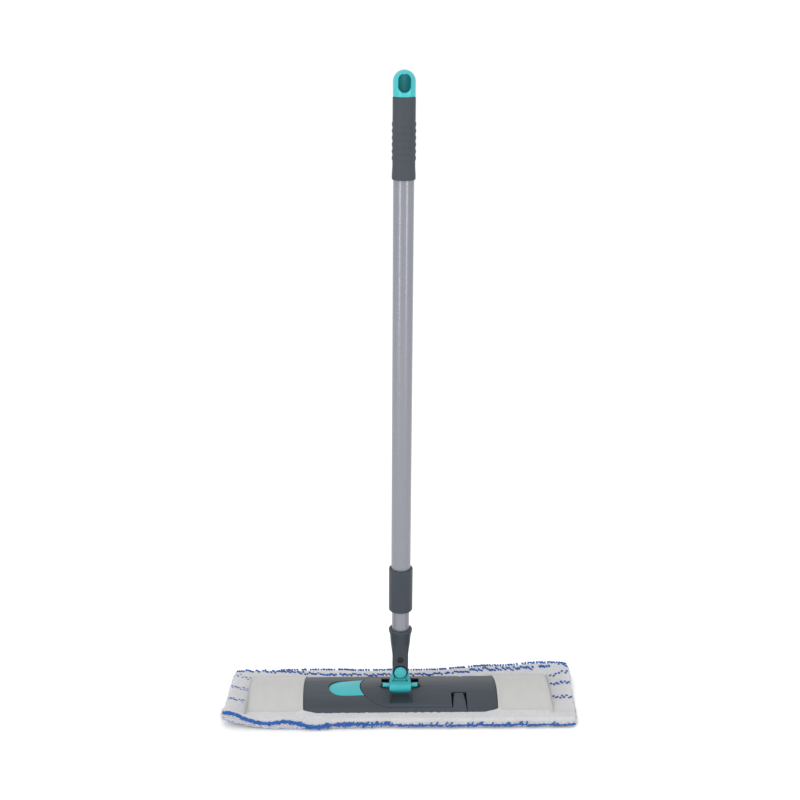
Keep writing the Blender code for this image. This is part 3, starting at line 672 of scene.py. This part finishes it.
def front_tufts():
    """Blue yarn along the front: a rough line that waves on the left and thins out to the right."""
    rng = np.random.default_rng(11)
    paths = []
    for level in (-0.9 * MM, 0.8 * MM):
        for x in line(-PAD_X + 5 * MM, WAVES_END, 2.2 * MM):
            u, v, w = rng.uniform(-1, 1, 3)
            z = rim(x) + level + 0.8 * MM * v
            y = -PAD_Y + 0.5 * MM * w - 0.3 * MM
            rise = (0.3 + 1.5 * u + 1.4 * step(-150 * MM, -105 * MM, x)) * MM
            paths.append([settle(x + s * 2.6 * MM, y + 0.5 * MM * (s * s - 1), z + s * rise)
                          for s in (-1, -0.5, 0, 0.5, 1)])
    for x in line(WAVES_END - 12 * MM, PAD_X - 3 * MM, 1.9 * MM):
        u, v, w, q = rng.uniform(-1, 1, 4)
        thin = step(-50 * MM, 10 * MM, x)
        bare = wobble(x, 0, 9 * MM, 2.0) + 0.5 * wobble(x, 0, 27 * MM, 6.0) + 0.85 * thin - 0.5
        laid = w > 0.35 or bare > 0.16 + 0.30 * q
        if laid and u > 0.85 - 0.25 * thin:
            continue
        top = rim(x) + (-1.2 + 0.9 * v - 2.4 * thin if laid else 0.3 + 1.3 * v - 1.2 * thin) * MM
        low = max(1.3 * MM, top - (0.9 if laid else 4.2 + 1.6 * abs(w) - 1.4 * thin) * MM)
        lean = (-5.0 if laid else -3.2 + 1.9 * u) * MM
        y = -PAD_Y - 0.2 * MM
        paths.append([settle(x - 0.5 * lean, y + 1.3 * MM, top + 0.1 * MM),
                      settle(x - 0.35 * lean, y - 0.1 * MM, top - 0.1 * MM),
                      settle(x, y - 0.8 * MM, 0.5 * (top + low)),
                      settle(x + 0.35 * lean, y - 0.6 * MM, low + 0.2 * MM),
                      settle(x + 0.5 * lean, y + 0.6 * MM, low)])
    return paths


def rear_row_y(x):
    """The inner blue row of the rear border drifts towards the edge at both ends."""
    return 52.6 * MM + 9.5 * MM * step(-60 * MM, -200 * MM, x) + 7.0 * MM * step(40 * MM, 115 * MM, x)


# A rear tuft: along and across in half lengths, and up in millimetres.
TUFT_SHAPE = [(-1.0, -1.0, 0.0), (-0.7, -0.6, 0.9), (0.0, 0.0, 1.15), (0.7, 0.6, 0.8), (1.0, 1.0, 0.0)]


def rear_tufts():
    """Two rows of short blue tufts along the rear border."""
    rng = np.random.default_rng(17)
    paths = []
    # where the row lies, its left end, its pitch, and how far its tufts stray
    rows = [(lambda x: 69.2 * MM, -155 * MM, 3.5 * MM, 1.1 * MM),
            (rear_row_y, -PAD_X + 4 * MM, 2.9 * MM, 2.4 * MM)]
    for place, start, pitch, spread in rows:
        for x in line(start, PAD_X - 4 * MM, pitch):
            u, v, w, q = rng.uniform(-1, 1, 4)
            if q > 0.80:
                continue
            y = min(place(x) + spread * v, PAD_Y - 0.4 * MM)
            lean = (0.9 + 1.4 * w) * MM
            z = min(cloth_height(x, min(y, PAD_Y - 2 * MM)), 10.6 * MM) - 0.5 * MM
            reach = (1.0 + 0.4 * abs(u)) * MM
            paths.append([settle(x + s * lean, y - t * reach, z + rise * MM) for s, t, rise in TUFT_SHAPE])
    return paths


def end_stitches():
    """Short broken rows of blue stitches across both end borders, and a few on the right edge."""
    rng = np.random.default_rng(29)
    blue, bold, pale = [], [], []
    # side of the pad, where the row lies, and its number of stitches
    rows = [(-1, 50 * MM, 10), (-1, 21 * MM, 13), (-1, -9 * MM, 12),
            (1, 45 * MM, 7), (1, 24 * MM, 9), (1, -8 * MM, 9)]
    for side, y0, count in rows:
        for i in range(count):
            u, v, w, q = rng.uniform(-1, 1, 4)
            x = side * (195 + 23 * (i + 0.5) / count) * MM + 0.9 * MM * u
            slope = -0.45 * (x + 207 * MM) if side < 0 else 0.0
            y = y0 + slope + (1.6 * (-1) ** i + 1.7 * v) * MM
            angle = (0.25 + 0.9 * w) * (1 if q > -0.4 else -1)
            reach = (1.0 + 0.6 * abs(q)) * MM
            z = cloth_height(x, y)
            path = [settle(x + s * reach * math.cos(angle), y + s * reach * math.sin(angle),
                           z + (0.75 * (1 - s * s) - 0.25) * MM) for s in (-1, -0.5, 0, 0.5, 1)]
            (bold if side > 0 else pale if q > 0.45 else blue).append(path)
    for i in range(16):
        u, v = rng.uniform(-1, 1, 2)
        y = (-66 + 4.4 * i + 1.2 * u) * MM
        x = PAD_X - 1.4 * MM
        blue.append([settle(x + s * 0.5 * MM, y + s * 1.4 * MM,
                            7.4 * MM + 0.8 * MM * v + 0.5 * MM * (1 - s * s)) for s in (-1, 0, 1)])
    return blue, bold, pale


def underside_edge():
    """Pale blue yarn ends along the bottom of the curled front-left edge."""
    rng = np.random.default_rng(37)
    paths = []
    for x in line(-PAD_X + 3 * MM, WAVES_END, 3.0 * MM):
        u, v, q = rng.uniform(-1, 1, 3)
        if q > 0.5:
            continue
        paths.append([settle(x + s * 2.2 * MM, -PAD_Y + (3.0 + 0.5 * v) * MM, (1.3 + 0.3 * u * s) * MM)
                      for s in (-1, -0.4, 0.4, 1)])
    return paths


def make_blue_yarn():
    """All the blue stitching and tufts on the borders."""
    blue, bold, pale = end_stitches()
    made = [yarns("front_tufts", front_tufts(), 1.05 * MM, yarn_blue, sides=6),
            yarns("rear_tufts", rear_tufts(), 1.25 * MM, yarn_blue, sides=6),
            yarns("end_stitches_blue", blue, 0.60 * MM, yarn_blue),
            yarns("end_stitches_bold", bold, 1.35 * MM, yarn_blue),
            yarns("end_stitches_pale", pale, 0.50 * MM, yarn_pale),
            yarns("underside_edge_yarn", underside_edge(), 0.55 * MM, yarn_pale)]
    for piece in made:
        bend(piece)
    return made


# ---------------------------------------------------------------- front hem and pockets

POCKET_SKIN = 0.95 * MM               # thickness of the woven cloth
POCKET_CLEAR = 0.4 * MM               # air between it and the plate
POCKET_OUT_X = 193 * MM               # its outer edge
POCKET_BACK_Y = 50.5 * MM             # its front and rear edges
END_SEAM_X = 186.8 * MM               # groove of the end seam
REAR_SEAM_Y = 45.6 * MM               # groove of the rear seam


def pocket_top(x, y):
    """Outer face of a pocket: tight over the wing tip, then down to its seams."""
    ax = abs(x)
    foot = cloth_height(math.copysign(min(ax, PAD_X), x), y) + 0.15 * MM + POCKET_SKIN
    over = crown(min(abs(y), PLATE_Y)) + POCKET_CLEAR + POCKET_SKIN
    over += 0.35 * MM * wobble(x, y, 30 * MM, 4.0) ** 2
    down = step(188.6 * MM, POCKET_OUT_X - 0.4 * MM, ax)
    down = max(down, step(PLATE_Y + 0.6 * MM, POCKET_BACK_Y - 0.6 * MM, abs(y)))
    groove = 0.35 * MM * math.exp(-((ax - END_SEAM_X) / (0.9 * MM)) ** 2)
    groove += 0.35 * MM * math.exp(-((y - REAR_SEAM_Y) / (0.9 * MM)) ** 2)
    return over + (foot - over) * down - min(groove, POCKET_CLEAR - 0.1 * MM)


def mouth_x(y):
    """Distance of the pocket's mouth from the middle, bowed outward."""
    share = min(1.0, max(0.0, (PLATE_Y - y) / (112 * MM)))
    return MOUTH_X - 0.6 * MM + 2.4 * MM * math.sin(math.pi * share)


def make_pocket(side, body, node, name):
    """Woven pocket sewn to the pad on three sides, with a folded hem at its mouth."""
    # distances from the mouth: close together over the folded hem and down at the outer end
    across = [0.0, 0.4, 0.8, 1.2, 1.8, 2.6, 3.4, 3.9, 4.4, 5.2]
    across = [a * MM for a in across] + [a for a in line(7 * MM, 60 * MM, 2.4 * MM)]
    across += line(61.5 * MM, POCKET_OUT_X - MOUTH_X, 0.9 * MM)

    def place(a, y):
        start = mouth_x(y)
        return side * (start + a * (POCKET_OUT_X - start) / (POCKET_OUT_X - MOUTH_X))

    def hem(a):
        fold = 1 - step(3.2 * MM, 4.4 * MM, a)
        lip = math.sqrt(max(0.0, 1 - (1 - min(1.0, a / (0.8 * MM))) ** 2))
        return 0.75 * MM * fold * lip, 0.55 * MM * (1 - lip)

    def upper(a, y):
        x = place(a, y)
        thick, drop = hem(a)
        return Vector((x, y, pocket_top(x, y) + thick - drop))

    def lower(a, y):
        x = place(a, y)
        return Vector((x, y, pocket_top(x, y) - POCKET_SKIN))

    def stitch(a, y, da, dy, dip, rise):
        spots = ((-1.15 * MM, -dip * MM), (0, rise * MM), (1.15 * MM, -dip * MM))
        return [upper(a + s * da, y + s * dy) + Vector((0, 0, z)) for s, z in spots]

    pocket = grid_shell(name, across, line(-POCKET_BACK_Y, POCKET_BACK_Y, 1.5 * MM), upper, lower, cloth_grey)
    end_a, rear_y = END_SEAM_X - 0.2 * MM - MOUTH_X, REAR_SEAM_Y - 0.2 * MM
    stitches = [stitch(3.7 * MM, y, 0, 1, 0.15, 0.16) for y in line(-44 * MM, 47 * MM, 3.1 * MM)]
    stitches += [stitch(end_a, y, 0, 1, 0.12, 0.14) for y in line(-46 * MM, 44 * MM, 3.1 * MM)]
    stitches += [stitch(a, rear_y, 1, 0, 0.12, 0.14) for a in line(5 * MM, 64 * MM, 3.1 * MM)]
    seam = yarns(name + "_stitching", stitches, 0.24 * MM, stitch_thread)
    for piece in (pocket, seam):
        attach(piece, body)
    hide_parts(node)


def hem_border_y(x):
    """Ragged inner border of the front hem: along the plate's edge and over the pocket corners."""
    ax = abs(x)
    y = -46.4 * MM + 0.8 * MM * step(MOUTH_X, MOUTH_X + 3 * MM, ax)
    y += 2.4 * MM * step(103 * MM, 120 * MM, ax) * (1 - step(122 * MM, 128 * MM, ax))
    y += (0.40 * wobble(x, 0, 5 * MM, 6.0) + 0.30 * wobble(x, 0, 2.2 * MM, 9.0)) * MM
    return y - 1.2 * MM * step(TIP_X - 2 * MM, TIP_X + 6 * MM, ax)


def hem_bed(x, y):
    """What the front hem lies on: plate, pocket or border cloth."""
    ax = abs(x)
    if ax > MOUTH_X:
        bed = pocket_top(x, y)
        start = bed + 0.75 * MM * (1 - step(MOUTH_X + 3 * MM, MOUTH_X + 7 * MM, ax))
        return start if y > -POCKET_BACK_Y and ax < POCKET_OUT_X else cloth_height(x, y)
    off_plate = step(PLATE_Y, PLATE_Y + 3 * MM, -y)
    bed = crown(y) * (1 - off_plate) + cloth_height(x, y) * off_plate
    return bed + 1.2 * MM * step(MOUTH_X - 7 * MM, MOUTH_X, ax)


def make_front_hem():
    """Soft white hem that runs the whole front and laps the plate's edge."""
    edge_y = -PAD_Y + 1.2 * MM

    def surface(x, t, low):
        y0 = hem_border_y(x)
        y = y0 + (edge_y - y0) * t
        bed = hem_bed(x, y)
        start = min(hem_bed(x, y0), 11.2 * MM) if y0 < -PLATE_Y else hem_bed(x, y0)
        straight = (start + 0.3 * MM) * (1 - t) + (10.2 * MM + front_rise(x, edge_y)) * t
        bed = max(bed + 0.3 * MM, straight - 0.4 * MM) - 1.4 * MM * step(0.86, 1.0, t)
        lip = math.sqrt(max(0.0, 1 - (1 - min(1.0, t / 0.07)) ** 2))
        thick = (0.35 + 1.0 * lip + 0.5 * math.sin(math.pi * t)) * MM
        rough = 0.28 * MM * wobble(x, y, 3.0 * MM, 12.0) * lip
        return settle(x, y, bed + (0.0 if low else thick + rough))

    hem = grid_shell("front_hem", line(-PAD_X + 1.5 * MM, PAD_X - 1.5 * MM, 1.7 * MM),
                     [0, 0.015, 0.035, 0.07] + line(0.12, 1.0, 0.05),
                     lambda x, t: surface(x, t, False), lambda x, t: surface(x, t, True), cloth_hem)
    bend(hem)


def make_pad():
    """The whole pad: cloth, mat, loops, tufts, hem and pockets."""
    cloth = make_pad_cloth()
    pile = make_pad_pile()
    make_pile_loops()
    make_edge_loops()
    tufts = make_blue_yarn()
    make_front_hem()
    make_pocket(-1, "left_side", "pocket_left", "pocket_cloth_left")
    make_pocket(1, "plate", "pocket_right", "pocket_cloth_right")


# ---------------------------------------------------------------- hard pieces

def dress(name, material):
    """Put a finish on a CAD node that stays."""
    obj = frame["nodes"][name]
    obj.data.materials.clear()
    obj.data.materials.append(material)


def ride_as(obj, node):
    """The piece takes the place and the body of a CAD node."""
    body = next(b for b, members in frame["record"]["behaviour"]["bodies"].items() if node in members)
    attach(obj, body)


def make_tubes():
    """The two thin-walled tubes with rolled ends."""
    wall = 0.8 * MM
    for node, name in (("outer_tube", "outer_tube_drawn"), ("inner_tube", "inner_tube_drawn")):
        low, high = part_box(node)
        profile = [(high.x, high.z), (high.x - wall, high.z), (high.x - wall, low.z), (high.x, low.z)]
        tube = lathe(name, fillet(profile, 0.28 * MM), silver)
        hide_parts(node)
        ride_as(tube, node)


def make_collar():
    """Guide collar under the outer tube: crisp top lip, generous round at the bottom."""
    low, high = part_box("tube_collar")
    outer_low, outer_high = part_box("outer_tube")
    bore, lip = outer_high.x + 0.3 * MM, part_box("inner_tube")[1].x + 0.3 * MM
    shelf = outer_low.z - 0.3 * MM
    r = high.x
    profile = [(r, high.z), (bore, high.z), (bore, shelf), (lip, shelf), (lip, low.z), (r, low.z)]
    radii = [0.9 * MM, 0.4 * MM, 0.2 * MM, 0.2 * MM, 0.5 * MM, 3.4 * MM]
    collar = lathe("guide_collar", fillet(profile, radii, steps=7), graphite)
    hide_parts("tube_collar")
    ride_as(collar, "tube_collar")


def make_grip():
    """Rubber grip: plain above, soft rings below, and a slight flare at its lower end."""
    low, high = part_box("grip_sleeve")
    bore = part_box("outer_tube")[1].x + 0.3 * MM
    plain, flare = 13.05 * MM, 0.55 * MM
    pitch, rings = 7.6 * MM, 6
    first = low.z + 20.2 * MM
    outer = []
    for z in line(low.z + 1.6 * MM, high.z - 1.2 * MM, 0.45 * MM):
        r = plain + flare * step(low.z + 16 * MM, low.z + 3 * MM, z)
        ringed = step(first, first + 0.3 * pitch, z)
        ringed *= step(first + rings * pitch, first + (rings - 0.3) * pitch, z)
        r += ringed * 0.42 * MM * (1 - math.cos(2 * math.pi * (z - first) / pitch)) ** 0.8
        outer.append((min(r, high.x), z))
    profile = [(bore, high.z), (bore, low.z), (13.1 * MM, low.z), (13.5 * MM, low.z + 0.4 * MM)] + outer
    profile += [(12.75 * MM, high.z - 0.3 * MM), (12.4 * MM, high.z)]
    sleeve = lathe("grip_rubber_sleeve", profile, grip)
    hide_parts("grip_sleeve")
    ride_as(sleeve, "grip_sleeve")


def make_hang_cap():
    """Teal cap: a domed body with a deep oval eye, closed behind."""
    low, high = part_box("hang_cap")
    radius, back = high.x, 10.4 * MM
    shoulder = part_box("grip_sleeve")[1].z + 0.3 * MM
    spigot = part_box("outer_tube")[1].x - 1.1 * MM
    profile = [(0, low.z), (spigot, low.z), (spigot, shoulder), (radius - 0.5 * MM, shoulder),
               (radius, shoulder + 0.5 * MM)]
    profile += arc((0, high.z - radius), radius, 0, 90, 22)[:-1] + [(0, high.z)]
    cap = lathe("eye_cap", profile, teal_cap)
    half_x, half_z, eye_z = 7.3 * MM, 10.6 * MM, high.z - 14.2 * MM
    eye = arc((0, eye_z + half_z - half_x), half_x, 0, 180, 28)
    eye += arc((0, eye_z - half_z + half_x), half_x, 180, 360, 28)
    cutter = prism(eye, lambda a, b, c: (a, c, b), -20 * MM, 20 * MM, teal_cap)
    hollow = [(-back, -21 * MM), (back, -21 * MM)] + arc((0, 0), back, 0, 180, 32)
    boolean(cutter, "INTERSECT", prism(hollow, lambda a, b, c: (a, b, c), low.z, high.z + 9 * MM, teal_cap))
    boolean(cap, "DIFFERENCE", cutter)
    round_edges(cap, 0.9 * MM, segments=4, angle=40)
    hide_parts("hang_cap")
    ride_as(cap, "hang_cap")


def sink_left_end(pedal):
    """The pedal's top slopes down to its left end, which lies a little below the plate."""
    low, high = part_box("release_pedal")
    for vertex in pedal.data.vertices:
        if vertex.co.z > 19 * MM:
            vertex.co.z -= 2.4 * MM * (high.x - vertex.co.x) / (high.x - low.x)


def make_moulded_parts():
    """Plates, pedal, yoke and fork: the CAD shapes with every edge rounded as moulded."""
    parts = [("right_wing", "tongue_wing", graphite, 0.45), ("left_wing", "deck_wing", graphite, 0.45),
             ("release_pedal", "foot_pedal", teal, 0.6), ("yoke", "swivel_yoke", teal, 0.5),
             ("handle_socket", "fork_socket", graphite, 0.45), ("pivot_pin", "headed_pin", teal, 0.5)]
    for node, name, material, width in parts:
        piece = softened(node, name, material, width * MM)
        if node == "release_pedal":
            sink_left_end(piece)
        ride_as(piece, node)


def make_small_parts():
    """Steel and hidden parts keep their CAD shape and get their finish."""
    for name in ("lock_washer", "lock_screw", "hinge_pin", "pedal_pin", "latch_spring", "pivot_clip"):
        dress(name, steel)
    for name in ("lock_plug", "tube_plug", "socket_screw"):
        dress(name, black)
    dress("lock_ring", grip)


# ---------------------------------------------------------------- stage, light and camera

def make_stage():
    """Plain pale floor."""
    size = 40.0
    material, tree, shader, add = nodes_of("floor_paper")
    paper = noise_at(add, tree, 6.0, detail=2.0)
    tint = ramp(add, tree, paper.outputs["Fac"], [(0.2, (0.92, 0.92, 0.92)), (0.8, (0.94, 0.94, 0.94))])
    tree.links.new(tint, shader.inputs["Base Color"])
    shader.inputs["Roughness"].default_value = 0.9
    shader.inputs["Specular IOR Level"].default_value = 0.1
    floor = mesh_object("floor", [(-size, -size, 0), (size, -size, 0), (size, size, 0), (-size, size, 0)],
                        [(0, 1, 2, 3)], material)


def soft_box(name, place, target, size, power):
    """Rectangular soft light that faces a point."""
    lamp = bpy.data.lights.new(name, "AREA")
    lamp.shape = "RECTANGLE"
    lamp.size, lamp.size_y = size
    lamp.energy = power
    obj = bpy.data.objects.new(name, lamp)
    obj.location = place
    obj.rotation_euler = (Vector(target) - Vector(place)).to_track_quat("-Z", "Y").to_euler()
    bpy.context.scene.collection.objects.link(obj)


def make_light():
    """White surround with a large key overhead and two tall strips that draw lines on the tube."""
    world = bpy.data.worlds.new("studio")
    world.use_nodes = True
    world.node_tree.nodes["Background"].inputs["Color"].default_value = (1.0, 1.0, 1.0, 1.0)
    world.node_tree.nodes["Background"].inputs["Strength"].default_value = 1.08
    bpy.context.scene.world = world
    soft_box("key", (-0.9, -1.0, 2.6), (0, 0, 0.1), (1.6, 1.6), 14)
    soft_box("strip_left", (-1.63, -1.9, 0.9), (0, 0, 0.4), (0.12, 2.2), 17)
    soft_box("strip_right", (1.45, -1.9, 0.9), (0, 0, 0.4), (0.12, 2.2), 15)


def make_camera():
    """Camera that stands in front, a little left, and looks down on the mop."""
    distance, height = 1.5918, 0.9136
    yaw, pitch, roll = math.radians(-1.712), math.radians(17.66), math.radians(0.4155)
    data = bpy.data.cameras.new("camera")
    data.lens, data.sensor_width = 63.0, 36.0
    data.shift_x = -0.0026
    camera = bpy.data.objects.new("camera", data)
    forward = Vector((-math.sin(yaw) * math.cos(pitch), math.cos(yaw) * math.cos(pitch), -math.sin(pitch)))
    right = Vector((math.cos(yaw), math.sin(yaw), 0))
    up = right.cross(forward)
    tilted = right * math.cos(roll) + up * math.sin(roll)
    upward = up * math.cos(roll) - right * math.sin(roll)
    place = Matrix.Translation((distance * math.sin(yaw), -distance * math.cos(yaw), height))
    camera.matrix_world = place @ Matrix((tilted, upward, -forward)).transposed().to_4x4()
    bpy.context.scene.collection.objects.link(camera)
    bpy.context.scene.camera = camera
    bpy.context.scene.view_settings.view_transform = "Standard"


make_camera()
make_light()
make_stage()
make_small_parts()
make_moulded_parts()
make_tubes()
make_collar()
make_grip()
make_hang_cap()
make_pad()
